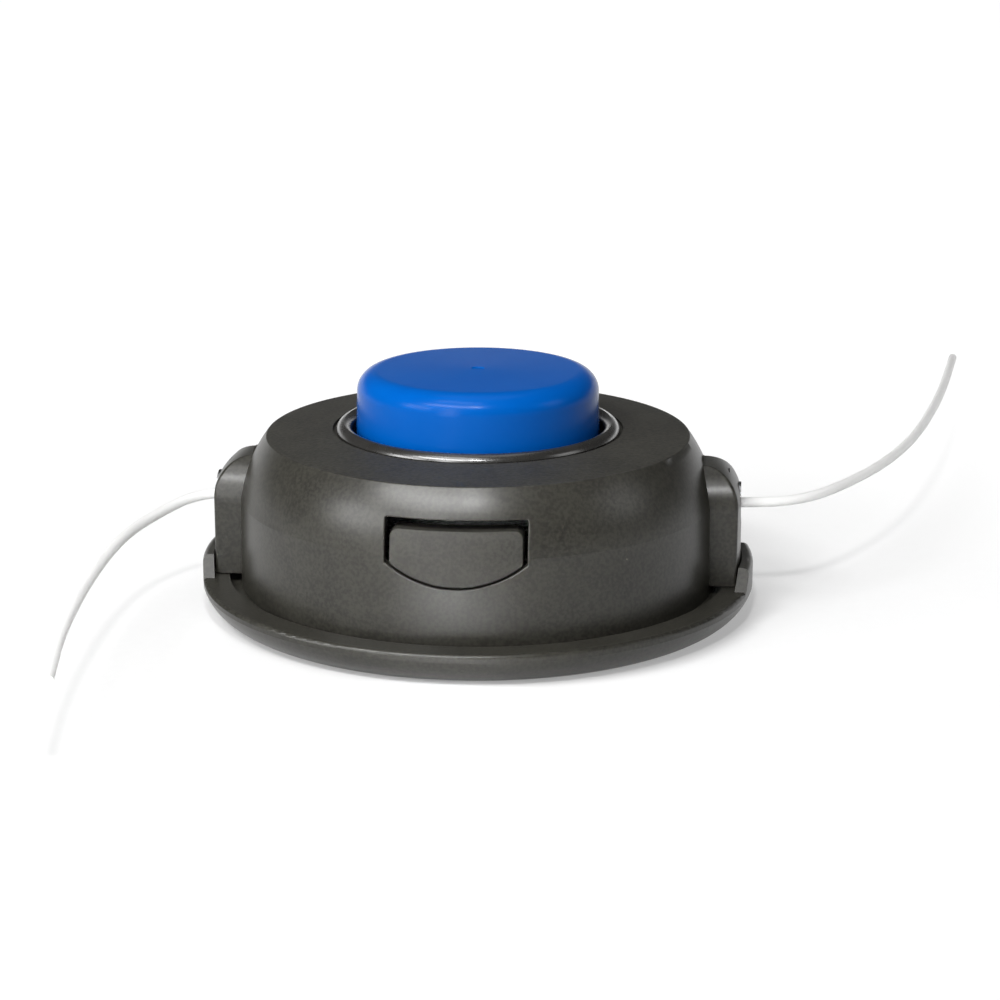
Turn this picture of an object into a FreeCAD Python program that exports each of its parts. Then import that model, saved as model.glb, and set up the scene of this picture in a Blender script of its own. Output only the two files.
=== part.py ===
import FreeCAD, Part
import math
import os
import types
import Sketcher

# Bump feed trimmer head, standing knob up on the foot of its flange.
# Millimetres, +Z up, origin in the middle of the foot. The latches face -Y and +Y, the eyelets -X and +X.

SIZES = {
    # flange and floor of the drum
    "rim_radius": 65.0,
    "rim_height": 8.0,
    "rim_round": 0.8,
    "saucer_run": 7.5,
    "saucer_rise": 6.2,
    "saucer_curve": 9.0,
    "foot_width": 7.5,
    "recess_depth": 3.8,
    "floor_thickness": 3.2,
    "seat_depth": 2.0,
    "rib_count": 8,
    "rib_thickness": 2.0,
    "rib_setback": 0.8,
    # ears of the flange beside the eyelet bosses
    "ear_height": 4.7,
    "ear_gap": 0.4,
    "ear_round": 1.6,
    "ear_half_width": 10.5,
    "ear_slope": 5.0,
    # hub post and drive nut
    "post_radius": 12.5,
    "hub_radius": 16.0,
    "hub_setback": 0.8,
    "hub_web": 3.2,
    "shaft_hole_radius": 5.3,
    "post_chamfer": 1.0,
    "post_setback": 1.0,
    "nut_flats": 17.0,
    "nut_height": 12.0,
    "nut_clearance": 0.15,
    "nut_bore_radius": 4.35,
    "nut_chamfer": 0.7,
    "nut_washer_thickness": 0.8,
    "nut_washer_bore": 5.8,
    # cover shell
    "ledge_width": 9.0,
    "seam_gap": 2.8,
    "seat_clearance": 0.4,
    "wall": 2.8,
    "wall_draft": 0.3,
    "shoulder_run": 6.2,
    "shoulder_rise": 14.7,
    "shoulder_curve": 32.0,
    "inner_shoulder_drop": 1.0,
    "top_thickness": 3.2,
    "top_crown": 1.2,
    "top_edge_round": 0.4,
    # eyelet bosses and eyelets
    "eyelet_height": 25.5,
    "boss_half_width": 11.0,
    "boss_reach": 6.0,
    "boss_round": 9.0,
    "boss_corner_rise": 1.0,
    "boss_wall": 3.0,
    "boss_lift": 0.3,
    "boss_edge_round": 0.8,
    "eyelet_shank_radius": 3.5,
    "eyelet_flange_radius": 5.0,
    "eyelet_flange": 0.9,
    "eyelet_recess": 0.25,
    "eyelet_bore_radius": 1.6,
    "eyelet_bell": 1.2,
    "eyelet_fit": 0.05,
    # latch windows and latches
    "window_half_width": 15.6,
    "window_drop": 6.6,
    "window_side": 9.6,
    "window_sag": 5.3,
    "window_round": 0.5,
    "window_edge_round": 0.3,
    "tab_round": 2.0,
    "tab_corner_round": 1.0,
    "tab_edge_round": 0.4,
    "tab_side_gap": 1.0,
    "tab_top_gap": 2.3,
    "tab_bottom_gap": 0.4,
    "tab_recess": 0.3,
    "tab_top_recess": 0.6,
    "latch_gap": 0.6,
    "latch_depth": 4.2,
    "latch_swing_room": 5.6,
    "stem_half_width": 6.2,
    "pivot_rise": 1.7,
    "pivot_depth": 1.5,
    "pivot_pin_radius": 1.2,
    "pivot_fit": 0.1,
    "pivot_lug": 2.8,
    "pivot_lug_gap": 0.4,
    "pivot_lug_wall": 0.9,
    # spool, feed dogs and line
    "bump_travel": 5.0,
    "dog_count": 8,
    "dog_height": 3.0,
    "dog_width": 5.6,
    "dog_length": 6.0,
    "dog_edge": 2.0,
    "dog_tip_gap": 0.5,
    "spool_dog_turn": 22.0,
    "drum_dog_turn": 22.5,
    "spool_flange": 2.0,
    "spool_divider": 1.4,
    "chamber_height": 6.8,
    "core_wall": 2.8,
    "spool_clearance": 0.3,
    "line_notch_width": 2.8,
    "line_notch_depth": 4.0,
    "line_diameter": 2.4,
    "winding_depth": 17.0,
    "winding_gap": 0.2,
    "winding_turns": 3,
    "winding_bulge_share": 0.55,
    # spring and its washers
    "spring_wire": 1.8,
    "spring_gap": 0.9,
    "spring_pitch": 3.3,
    "spring_grind": 0.45,
    "spring_shelf_rise": 11.5,
    "washer_thickness": 0.9,
    "washer_gap": 0.1,
    # knob, snap ring and wear ring
    "knob_radius": 28.6,
    "knob_taper": 0.4,
    "knob_height": 22.0,
    "knob_round": 4.8,
    "knob_crown": 0.3,
    "gate_mark_radius": 1.6,
    "gate_mark_depth": 0.25,
    "knob_wall": 2.8,
    "knob_roof": 3.2,
    "knob_rib_count": 6,
    "knob_rib_thickness": 1.8,
    "knob_rib_depth": 7.0,
    "knob_fit": 0.3,
    "socket_wall": 2.8,
    "socket_height": 4.2,
    "snap_wire": 1.2,
    "snap_share": 0.6,
    "snap_gap": 0.25,
    "snap_opening": 25.0,
    "ring_gap": 0.9,
    "ring_width": 3.7,
    "ring_recess": 0.8,
    "ring_seam": 0.8,
    "ring_side": 0.8,
    "ring_height": 2.4,
    "ring_curve_share": 0.6,
    "ring_spigot": 2.0,
    "ring_fit": 0.1,
    # reach of a cutting profile past the solid, and depth of a raised feature into its base
    "spare": 4.0,
    "weld": 0.5,
}

# Routes of the free line ends, from inside the boss outwards, with heights counted from the eyelet's axis
TAIL_LEFT = [
    (-51.6, 0.0, 0.0),
    (-65.6, 0.0, -0.3),
    (-74.2, -12.2, -2.6),
    (-78.6, -31.5, -2.9),
    (-79.0, -60.3, -3.3),
    (-77.3, -87.2, -3.6),
    (-75.2, -106.8, -3.9),
    (-72.1, -125.4, -4.2),
]
TAIL_RIGHT = [
    (54.5, 0.0, 0.0),
    (66.5, 0.0, 0.0),
    (77.8, 5.6, -0.1),
    (88.0, 21.2, -0.2),
    (98.4, 43.0, -0.4),
    (107.1, 70.1, -0.6),
    (115.0, 107.5, -0.9),
    (120.1, 137.8, -1.1),
    (124.4, 168.0, -1.3),
]

# Share of the shorter run that the arc at a corner takes up
ARC_SHARE = 0.45

# How far a volume may be from the expected one, and a point from the surface it lies on
VOLUME_TOLERANCE = 0.01
POINT_TOLERANCE = 0.02


class Size:
    """A number together with the sheet formula that gives it."""

    def __init__(self, value, formula):
        self.value = value
        self.formula = formula

    def __add__(self, other):
        other = as_size(other)
        return Size(self.value + other.value, f"({self.formula} + {other.formula})")

    def __sub__(self, other):
        other = as_size(other)
        return Size(self.value - other.value, f"({self.formula} - {other.formula})")

    def __mul__(self, other):
        other = as_size(other)
        return Size(self.value * other.value, f"({self.formula} * {other.formula})")

    def __truediv__(self, other):
        other = as_size(other)
        return Size(self.value / other.value, f"({self.formula} / {other.formula})")

    def __neg__(self):
        return Size(-self.value, f"(0 - {self.formula})")


def as_size(number):
    return number if isinstance(number, Size) else Size(number, repr(number))


doc = FreeCAD.newDocument("TrimmerHead")
sheet = doc.addObject("Spreadsheet::Sheet", "Sizes")
for row, (alias, number) in enumerate(SIZES.items(), 1):
    sheet.set(f"A{row}", alias)
    sheet.set(f"B{row}", str(number))
    sheet.setAlias(f"B{row}", alias)
s = types.SimpleNamespace(**{alias: Size(number, f"Sizes.{alias}") for alias, number in SIZES.items()})
doc.recompute()


# Tools that draw bound sketches and features

def bind(item, path, amount):
    item.setExpression(path, as_size(amount).formula)


def origin_feature(body, role):
    return next(item for item in body.Origin.OriginFeatures if item.Role == role)


def new_body(label):
    body = doc.addObject("PartDesign::Body", label)
    body.Label = label
    body.AllowCompound = True
    return body


def sketch_on(body, name, role, lift=None, turn=None, rise=None):
    sketch = body.newObject("Sketcher::SketchObject", name)
    sketch.AttachmentSupport = [(origin_feature(body, role), "")]
    sketch.MapMode = "FlatFace"
    if lift is not None:
        bind(sketch, "AttachmentOffset.Base.z", lift)
    if rise is not None:
        bind(sketch, "AttachmentOffset.Base.y", rise)
    if turn is not None:
        bind(sketch, "AttachmentOffset.Rotation.Angle", turn)
    return sketch


def place(sketch, edge, end, across, up):
    """Hold one end of an edge, or a circle's middle, at bound distances from the sketch's origin."""
    for kind, axis, amount in (("DistanceX", -2, across), ("DistanceY", -1, up)):
        if amount.value == 0:
            sketch.addConstraint(Sketcher.Constraint("PointOnObject", edge, end, axis))
        else:
            index = sketch.addConstraint(Sketcher.Constraint(kind, -1, 1, edge, end, amount.value))
            bind(sketch, f"Constraints[{index}]", amount)


def hold_radius(sketch, edge, radius):
    index = sketch.addConstraint(Sketcher.Constraint("Radius", edge, radius.value))
    bind(sketch, f"Constraints[{index}]", radius)


def arc_between(start, end, radius, left):
    """The shorter arc from start to end that bends to the left or to the right."""
    chord = end - start
    side = FreeCAD.Vector(-chord.y, chord.x, 0).normalize() * (1 if left else -1)
    middle = (start + end) * 0.5 + side * math.sqrt(max(radius ** 2 - chord.Length ** 2 / 4, 0))
    first, last = (start, end) if left else (end, start)
    angles = [math.atan2(point.y - middle.y, point.x - middle.x) for point in (first, last)]
    return Part.ArcOfCircle(Part.Circle(middle, FreeCAD.Vector(0, 0, 1), radius), *angles)


def outline(sketch, corners):
    """Draw a closed outline through the corners.

    A corner is (across, up). With a third value, an arc of that radius leads to it from the corner before,
    bending left where the value is positive and right where it is negative.
    """
    corners = [tuple(as_size(value) for value in corner) for corner in corners]
    points = [FreeCAD.Vector(corner[0].value, corner[1].value, 0) for corner in corners]
    edges = []
    for number, corner in enumerate(corners):
        start = points[number - 1]
        end = points[number]
        if len(corner) == 3:
            left = corner[2].value > 0
            edge = sketch.addGeometry(arc_between(start, end, abs(corner[2].value), left), False)
            edges.append((edge, 1, 2) if left else (edge, 2, 1))
        else:
            edges.append((sketch.addGeometry(Part.LineSegment(start, end), False), 1, 2))
    for number, (edge, _, end) in enumerate(edges):
        following, start, _ = edges[(number + 1) % len(edges)]
        sketch.addConstraint(Sketcher.Constraint("Coincident", edge, end, following, start))
    for corner, (edge, _, end) in zip(corners, edges):
        place(sketch, edge, end, corner[0], corner[1])
        if len(corner) == 3:
            hold_radius(sketch, edge, corner[2] if corner[2].value > 0 else -corner[2])


def circle(sketch, across, up, radius):
    middle = FreeCAD.Vector(as_size(across).value, as_size(up).value, 0)
    edge = sketch.addGeometry(Part.Circle(middle, FreeCAD.Vector(0, 0, 1), radius.value), False)
    place(sketch, edge, 3, as_size(across), as_size(up))
    hold_radius(sketch, edge, radius)


def turned(body, kind, name, corners, axis="V_Axis", rise=None):
    """A Revolution or Groove all round, from an outline of radius and height."""
    sketch = sketch_on(body, name + "Outline", "XZ_Plane", rise=rise)
    outline(sketch, corners)
    feature = body.newObject("PartDesign::" + kind, name)
    feature.Profile = sketch
    feature.ReferenceAxis = (sketch, [axis])
    feature.Angle = 360
    body.Tip = feature
    return feature


def extruded(body, kind, name, sketch, length, both_ways=False):
    """A Pad along the sketch's normal or a Pocket against it, or either of them both ways at once."""
    feature = body.newObject("PartDesign::" + kind, name)
    feature.Profile = sketch
    if both_ways:
        feature.SideType = "Symmetric"
    bind(feature, "Length", length)
    body.Tip = feature
    return feature


def ring_of(body, feature, count):
    pattern = body.newObject("PartDesign::PolarPattern", feature.Name + "Ring")
    pattern.Originals = [feature]
    pattern.Axis = (origin_feature(body, "Z_Axis"), [""])
    pattern.Angle = 360
    bind(pattern, "Occurrences", count)
    body.Tip = pattern


def rounded(body, name, radius, on_edge):
    """A Fillet on those edges of the body whose middle passes the test."""
    doc.recompute()
    base = body.Tip
    names = []
    for number, edge in enumerate(base.Shape.Edges, 1):
        if on_edge(edge.valueAt((edge.FirstParameter + edge.LastParameter) / 2)):
            names.append(f"Edge{number}")
    fillet = body.newObject("PartDesign::Fillet", name)
    fillet.Base = (base, names)
    bind(fillet, "Radius", radius)
    body.Tip = fillet


def radius_of(point):
    return math.hypot(point.x, point.y)


def near(amount, expected):
    return abs(amount - expected) < POINT_TOLERANCE


def box_outline(left, low, right, high):
    return [(left, low), (right, low), (right, high), (left, high)]


def feed_dogs(body, name, low, height, turn=None):
    """Equal radial teeth that stand on a flat face."""
    sketch = sketch_on(body, name + "Outline", "XY_Plane", lift=low, turn=turn)
    outline(sketch, box_outline(dog_inner, -s.dog_width / 2, dog_outer, s.dog_width / 2))
    ring_of(body, extruded(body, "Pad", name, sketch, height), s.dog_count)


def plain_ring(label, inner, outer, low, thickness):
    body = new_body(label)
    turned(body, "Revolution", "Ring", box_outline(inner, low, outer, low + thickness))
    return body


# Heights and radii that several pieces share, worked out from the floor upwards

floor_top = s.recess_depth + s.floor_thickness
seat_floor = s.rim_height - s.seat_depth
spool_low = floor_top + s.dog_tip_gap + s.bump_travel + s.dog_height
divider_low = spool_low + s.spool_flange + s.chamber_height
upper_low = divider_low + s.spool_divider
spool_high = upper_low + s.chamber_height + s.spool_flange
ceiling = spool_high + s.dog_height + s.dog_tip_gap
cover_edge = ceiling + s.top_thickness
cover_crown = cover_edge + s.top_crown
shoulder_low = cover_edge - s.shoulder_rise

cover_foot = s.rim_radius - s.ledge_width
cover_shoulder = cover_foot - s.wall_draft
cover_top_radius = cover_shoulder - s.shoulder_run
inner_foot = cover_foot - s.wall
inner_shoulder = cover_shoulder - s.wall
inner_shoulder_height = shoulder_low - s.inner_shoulder_drop
boss_radius = cover_foot + s.boss_reach
ring_bore = s.knob_radius + s.ring_gap
ring_outer = ring_bore + s.ring_width
ring_seat = cover_crown - s.ring_recess

window_top = cover_edge - s.window_drop
window_corner = window_top - s.window_side
window_low = window_corner - s.window_sag
latch_inner = inner_shoulder - s.latch_gap - s.latch_depth
pivot_height = floor_top + s.pivot_rise
pivot_radius = latch_inner + s.pivot_depth
pivot_lug_end = s.stem_half_width + s.pivot_lug_gap + s.pivot_lug

spool_radius = latch_inner - s.latch_swing_room
dog_outer = spool_radius - s.dog_edge
dog_inner = dog_outer - s.dog_length
spring_radius = s.post_radius + s.spring_gap + s.spring_wire / 2
spring_room = spring_radius + s.spring_wire / 2 + s.spring_gap
core_radius = spring_room + s.core_wall
spring_shelf = spool_low + s.spring_shelf_rise
knob_bore = s.knob_radius - s.knob_wall
socket_outer = knob_bore - s.knob_fit
snap_height = spool_high + s.socket_height * s.snap_share
snap_radius = (knob_bore + socket_outer) / 2
post_top = spool_high - s.post_setback
nut_low = s.hub_setback + s.hub_web
nut_high = nut_low + s.nut_height


# Drum: flange like a saucer, ears, floor, hub post with a hexagon pocket

def hexagon(half_flats):
    corner = half_flats * math.sqrt(4 / 3)
    return [
        (corner, 0),
        (corner / 2, half_flats),
        (-corner / 2, half_flats),
        (-corner, 0),
        (-corner / 2, -half_flats),
        (corner / 2, -half_flats),
    ]


def make_drum():
    body = new_body("drum")
    ear_inner = boss_radius + s.ear_gap
    ear_low = s.rim_height - s.weld - s.rim_round
    ear_top = s.rim_height + s.ear_height
    past_rim = s.rim_radius + s.spare
    blank = sketch_on(body, "EarBlankOutline", "YZ_Plane")
    outline(blank, [
        (-s.ear_half_width - s.ear_slope, ear_low),
        (s.ear_half_width + s.ear_slope, ear_low),
        (s.ear_half_width, ear_top),
        (-s.ear_half_width, ear_top),
    ])
    extruded(body, "Pad", "EarBlank", blank, past_rim * 2, both_ways=True)
    turned(body, "Groove", "EarInside", box_outline(0, ear_low - s.spare, ear_inner, ear_top + s.spare))
    turned(body, "Groove", "EarOutside", [
        (s.rim_radius, ear_low - s.spare),
        (past_rim + s.spare, ear_low - s.spare),
        (past_rim + s.spare, ear_top + s.spare),
        (s.rim_radius - s.ear_round, ear_top + s.spare),
        (s.rim_radius - s.ear_round, ear_top),
        (s.rim_radius, ear_top - s.ear_round, -s.ear_round),
    ])
    foot_radius = s.rim_radius - s.saucer_run
    foot_inner = foot_radius - s.foot_width
    seat_inner = inner_foot - s.seat_clearance
    turned(body, "Revolution", "Dish", [
        (s.shaft_hole_radius, s.hub_setback),
        (s.hub_radius, s.hub_setback),
        (s.hub_radius, s.recess_depth),
        (foot_inner, s.recess_depth),
        (foot_inner, 0),
        (foot_radius, 0),
        (s.rim_radius, s.saucer_rise, s.saucer_curve),
        (s.rim_radius, s.rim_height - s.rim_round),
        (s.rim_radius - s.rim_round, s.rim_height, s.rim_round),
        (cover_foot + s.seam_gap, s.rim_height),
        (cover_foot + s.seam_gap, seat_floor),
        (seat_inner, seat_floor),
        (seat_inner, floor_top),
        (s.post_radius, floor_top),
        (s.post_radius, post_top - s.post_chamfer),
        (s.post_radius - s.post_chamfer, post_top),
        (s.shaft_hole_radius, post_top),
    ])
    feed_dogs(body, "FloorDog", floor_top - s.weld, s.dog_height + s.weld, s.drum_dog_turn)

    lugs = sketch_on(body, "PivotLugOutline", "XY_Plane", lift=floor_top - s.weld)
    lug_depth = s.pivot_pin_radius + s.pivot_fit + s.pivot_lug_wall
    lug_start = s.stem_half_width + s.pivot_lug_gap
    lug_low = -pivot_radius - lug_depth
    lug_high = -pivot_radius + lug_depth
    outline(lugs, box_outline(lug_start, lug_low, pivot_lug_end, lug_high))
    outline(lugs, box_outline(-pivot_lug_end, lug_low, -lug_start, lug_high))
    lug_pad = extruded(body, "Pad", "PivotLug", lugs, s.weld + s.pivot_rise + lug_depth)
    ring_of(body, lug_pad, 2)
    holes = sketch_on(body, "PivotHoleOutline", "YZ_Plane")
    circle(holes, -pivot_radius, pivot_height, s.pivot_pin_radius + s.pivot_fit)
    circle(holes, pivot_radius, pivot_height, s.pivot_pin_radius + s.pivot_fit)
    extruded(body, "Pocket", "PivotHole", holes, (pivot_lug_end + s.spare) * 2, both_ways=True)

    pocket = sketch_on(body, "NutPocketOutline", "XY_Plane", lift=post_top)
    outline(pocket, hexagon(s.nut_flats / 2 + s.nut_clearance))
    extruded(body, "Pocket", "NutPocket", pocket, post_top - nut_low)

    rib = sketch_on(body, "RibOutline", "XY_Plane", lift=s.rib_setback)
    half = s.rib_thickness / 2
    outline(rib, box_outline(s.hub_radius - s.weld, -half, foot_inner + s.weld, half))
    rib_pad = extruded(body, "Pad", "Rib", rib, s.recess_depth - s.rib_setback + s.weld)
    ring_of(body, rib_pad, s.rib_count)
    return body


# Cover: shell with eyelet bosses, latch windows, a recess for the wear ring and dogs under its ceiling

def arch(half_width, low, middle):
    return [
        (-half_width, low),
        (half_width, low),
        (half_width, middle),
        (0, middle + half_width, half_width),
        (-half_width, middle, half_width),
    ]


def tab_shape(half_width, top, corner, sag, rounding):
    """The D shape of a latch window: straight top and sides, rounded top corners, an arc below."""
    curve = (half_width * half_width + sag * sag) / (sag * 2)
    return [
        (-half_width, corner),
        (half_width, corner, curve),
        (half_width, top - rounding),
        (half_width - rounding, top, rounding),
        (-half_width + rounding, top),
        (-half_width, top - rounding, rounding),
    ]


def on_boss_edge(point):
    return near(radius_of(point), boss_radius.value) and near(abs(point.y), s.boss_half_width.value)


def on_top_edge(point):
    return near(radius_of(point), cover_top_radius.value) and near(point.z, cover_edge.value)


def outside_wall(point):
    """Whether a point lies on the outer half of the wall or beyond it."""
    climb = max(point.z - shoulder_low.value, 0) / s.shoulder_rise.value
    middle = cover_shoulder.value - s.wall.value / 2 - climb * s.shoulder_run.value
    return radius_of(point) > middle


def on_window_edge(point):
    beside = abs(point.x) < s.window_half_width.value + s.wall.value
    level = window_low.value - s.wall.value < point.z < window_top.value + s.wall.value / 2
    return beside and level and outside_wall(point)


def make_cover():
    body = new_body("cover")
    boss_low = s.rim_height + s.boss_lift
    boss_corner = s.eyelet_height + s.boss_corner_rise
    past_boss = boss_radius + s.spare
    boss = sketch_on(body, "BossOutline", "YZ_Plane")
    outline(boss, arch(s.boss_half_width, boss_low, s.eyelet_height))
    extruded(body, "Pad", "Boss", boss, past_boss * 2, both_ways=True)
    turned(body, "Groove", "BossCrest", [
        (boss_radius, boss_low - s.spare),
        (past_boss + s.spare, boss_low - s.spare),
        (past_boss + s.spare, boss_corner + s.boss_round + s.spare),
        (boss_radius - s.boss_round, boss_corner + s.boss_round + s.spare),
        (boss_radius - s.boss_round, boss_corner + s.boss_round),
        (boss_radius, boss_corner, -s.boss_round),
    ])
    rounded(body, "BossEdge", s.boss_edge_round, on_boss_edge)
    turned(body, "Revolution", "Shell", [
        (0, seat_floor),
        (cover_foot, seat_floor),
        (cover_shoulder, shoulder_low),
        (cover_top_radius, cover_edge, s.shoulder_curve),
        (ring_outer + s.ring_seam, cover_crown),
        (0, cover_crown),
    ])
    rounded(body, "TopEdge", s.top_edge_round, on_top_edge)
    opening = ring_bore + s.ring_spigot + s.ring_fit
    turned(body, "Groove", "Inside", [
        (0, seat_floor - s.spare),
        (inner_foot, seat_floor - s.spare),
        (inner_foot, seat_floor),
        (inner_shoulder, inner_shoulder_height),
        (cover_top_radius - s.wall, ceiling),
        (opening, ceiling),
        (opening, ring_seat),
        (ring_outer + s.ring_seam, ring_seat),
        (ring_outer + s.ring_seam, cover_crown + s.spare),
        (0, cover_crown + s.spare),
    ])
    room = sketch_on(body, "BossRoomOutline", "YZ_Plane")
    outline(room, arch(s.boss_half_width - s.boss_wall, boss_low + s.boss_wall, s.eyelet_height))
    extruded(body, "Pocket", "BossRoom", room, (boss_radius - s.boss_wall) * 2, both_ways=True)
    windows = sketch_on(body, "WindowOutline", "XZ_Plane")
    outline(windows, tab_shape(s.window_half_width, window_top, window_corner, s.window_sag, s.window_round))
    extruded(body, "Pocket", "Window", windows, (cover_foot + s.spare) * 2, both_ways=True)
    rounded(body, "WindowEdge", s.window_edge_round, on_window_edge)
    hole_start = boss_radius - s.boss_wall - s.spare
    flange_seat = boss_radius - s.eyelet_flange
    hole = turned(body, "Groove", "EyeletHole", [
        (hole_start, 0),
        (past_boss, 0),
        (past_boss, s.eyelet_flange_radius + s.eyelet_fit),
        (flange_seat, s.eyelet_flange_radius + s.eyelet_fit),
        (flange_seat, s.eyelet_shank_radius + s.eyelet_fit),
        (hole_start, s.eyelet_shank_radius + s.eyelet_fit),
    ], axis="H_Axis", rise=s.eyelet_height)
    ring_of(body, hole, 2)
    feed_dogs(body, "CeilingDog", ceiling - s.dog_height, s.dog_height + s.weld)
    return body


# Wear ring and knob with its snap ring

def make_wear_ring():
    body = new_body("wear_ring")
    crest = ring_bore + s.ring_width / 2
    turned(body, "Revolution", "Ring", [
        (ring_bore, ceiling),
        (ring_bore + s.ring_spigot, ceiling),
        (ring_bore + s.ring_spigot, ring_seat),
        (ring_outer, ring_seat),
        (ring_outer, ring_seat + s.ring_side),
        (crest, ring_seat + s.ring_height, s.ring_width * s.ring_curve_share),
        (ring_bore, ring_seat + s.ring_side, s.ring_width * s.ring_curve_share),
    ])
    return body


def make_knob():
    body = new_body("bump_knob")
    top = spool_high + s.knob_height
    side_top = s.knob_radius - s.knob_taper
    crown_low = top - s.knob_crown
    roof = top - s.knob_roof
    groove = s.snap_wire / 2 + s.snap_gap
    turned(body, "Revolution", "Cap", [
        (knob_bore, spool_high),
        (s.knob_radius, spool_high),
        (side_top, crown_low - s.knob_round),
        (side_top - s.knob_round, crown_low, s.knob_round),
        (0, top),
        (0, roof),
        (knob_bore - s.knob_wall, roof),
        (knob_bore, roof - s.knob_wall, -s.knob_wall),
        (knob_bore, snap_height + groove),
        (snap_radius + groove, snap_height + groove),
        (snap_radius + groove, snap_height - groove),
        (knob_bore, snap_height - groove),
    ])
    turned(body, "Groove", "GateMark", [
        (0, top - s.gate_mark_depth),
        (s.gate_mark_radius - s.gate_mark_depth, top - s.gate_mark_depth),
        (s.gate_mark_radius, top),
        (s.gate_mark_radius, top + s.spare),
        (0, top + s.spare),
    ])
    rib = sketch_on(body, "RibOutline", "XY_Plane", lift=roof - s.knob_rib_depth)
    half = s.knob_rib_thickness / 2
    outline(rib, box_outline(s.post_radius, -half, knob_bore + s.weld, half))
    rib_pad = extruded(body, "Pad", "Rib", rib, s.knob_rib_depth + s.weld)
    ring_of(body, rib_pad, s.knob_rib_count)
    return body


def make_snap_ring():
    ring = doc.addObject("Part::Torus", "knob_snap_ring")
    bind(ring, "Radius1", snap_radius)
    bind(ring, "Radius2", s.snap_wire / 2)
    bind(ring, "Angle3", -s.snap_opening + 360)
    bind(ring, "Placement.Base.z", snap_height)
    return ring


# Spool with two chambers, and the line wound in them

def make_spool():
    body = new_body("spool")
    bore = s.post_radius + s.spool_clearance
    groove = s.snap_wire / 2 + s.snap_gap
    socket_inner = socket_outer - s.socket_wall
    turned(body, "Revolution", "Reel", [
        (spring_room, spool_low),
        (spool_radius, spool_low),
        (spool_radius, spool_low + s.spool_flange),
        (core_radius, spool_low + s.spool_flange),
        (core_radius, divider_low),
        (spool_radius, divider_low),
        (spool_radius, upper_low),
        (core_radius, upper_low),
        (core_radius, spool_high - s.spool_flange),
        (spool_radius, spool_high - s.spool_flange),
        (spool_radius, spool_high),
        (socket_outer, spool_high),
        (socket_outer, snap_height - groove),
        (snap_radius - groove, snap_height - groove),
        (snap_radius - groove, snap_height + groove),
        (socket_outer, snap_height + groove),
        (socket_outer, spool_high + s.socket_height),
        (socket_inner, spool_high + s.socket_height),
        (socket_inner, spool_high),
        (bore, spool_high),
        (bore, spring_shelf),
        (spring_room, spring_shelf),
    ])
    notch = sketch_on(body, "LineNotchOutline", "XY_Plane", lift=spool_high)
    half = s.line_notch_width / 2
    deep = spool_radius - s.line_notch_depth
    outline(notch, box_outline(deep, -half, spool_radius + s.spare, half))
    cut = extruded(body, "Pocket", "LineNotch", notch, spool_high - spool_low)
    ring_of(body, cut, 2)
    feed_dogs(body, "TopDog", spool_high - s.weld, s.dog_height + s.weld, s.spool_dog_turn)
    feed_dogs(body, "LowDog", spool_low - s.dog_height, s.dog_height + s.weld, s.spool_dog_turn)
    return body


def make_winding(label, chamber_low):
    """A full winding, with its outermost turns as a row of rounds."""
    body = new_body(label)
    inner = core_radius + s.winding_gap
    outer = inner + s.winding_depth
    low = chamber_low + s.winding_gap
    pitch = (s.chamber_height - s.winding_gap * 2) / s.winding_turns
    corners = [(inner, low), (outer, low)]
    for turn in range(SIZES["winding_turns"]):
        corners.append((outer, low + pitch * (turn + 1), pitch * s.winding_bulge_share))
    corners.append((inner, low + s.chamber_height - s.winding_gap * 2))
    turned(body, "Revolution", "Winding", corners)
    return body


# Spring and the pieces that turn or sit on the post

def make_spring():
    """An open coil from the foot washer up to the thrust washer, ground flat at both ends."""
    low = floor_top + s.washer_thickness
    high = spring_shelf - s.washer_gap - s.washer_thickness
    helix = doc.addObject("Part::Helix", "SpringPath")
    bind(helix, "Pitch", s.spring_pitch)
    bind(helix, "Height", high - low + s.spring_grind * 2)
    bind(helix, "Radius", spring_radius)
    bind(helix, "Placement.Base.z", low - s.spring_grind)
    wire = doc.addObject("Part::Circle", "SpringWire")
    bind(wire, "Radius", s.spring_wire / 2)
    wire.Placement.Rotation = FreeCAD.Rotation(FreeCAD.Vector(1, 0, 0), 90)
    bind(wire, "Placement.Base.x", spring_radius)
    bind(wire, "Placement.Base.z", low - s.spring_grind)
    doc.recompute()
    coil = doc.addObject("Part::Sweep", "SpringCoil")
    coil.Sections = [wire]
    coil.Spine = (helix, ["Edge1"])
    coil.Solid = True
    coil.Frenet = True
    room = doc.addObject("Part::Box", "SpringRoom")
    bind(room, "Length", spring_room * 2)
    bind(room, "Width", spring_room * 2)
    bind(room, "Height", high - low)
    bind(room, "Placement.Base.x", -spring_room)
    bind(room, "Placement.Base.y", -spring_room)
    bind(room, "Placement.Base.z", low)
    spring = doc.addObject("Part::Common", "feed_spring")
    spring.Base = coil
    spring.Tool = room
    return spring


def make_nut():
    body = new_body("drive_nut")
    blank = sketch_on(body, "NutOutline", "XY_Plane", lift=nut_low)
    outline(blank, hexagon(s.nut_flats / 2))
    extruded(body, "Pad", "Nut", blank, s.nut_height)
    mouth = s.nut_bore_radius + s.nut_chamfer
    turned(body, "Groove", "Bore", [
        (0, nut_low - s.spare),
        (mouth, nut_low - s.spare),
        (mouth, nut_low),
        (s.nut_bore_radius, nut_low + s.nut_chamfer),
        (s.nut_bore_radius, nut_high - s.nut_chamfer),
        (mouth, nut_high),
        (mouth, nut_high + s.spare),
        (0, nut_high + s.spare),
    ])
    return body


# Eyelets and latches, each made once and turned half round for its twin

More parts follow.
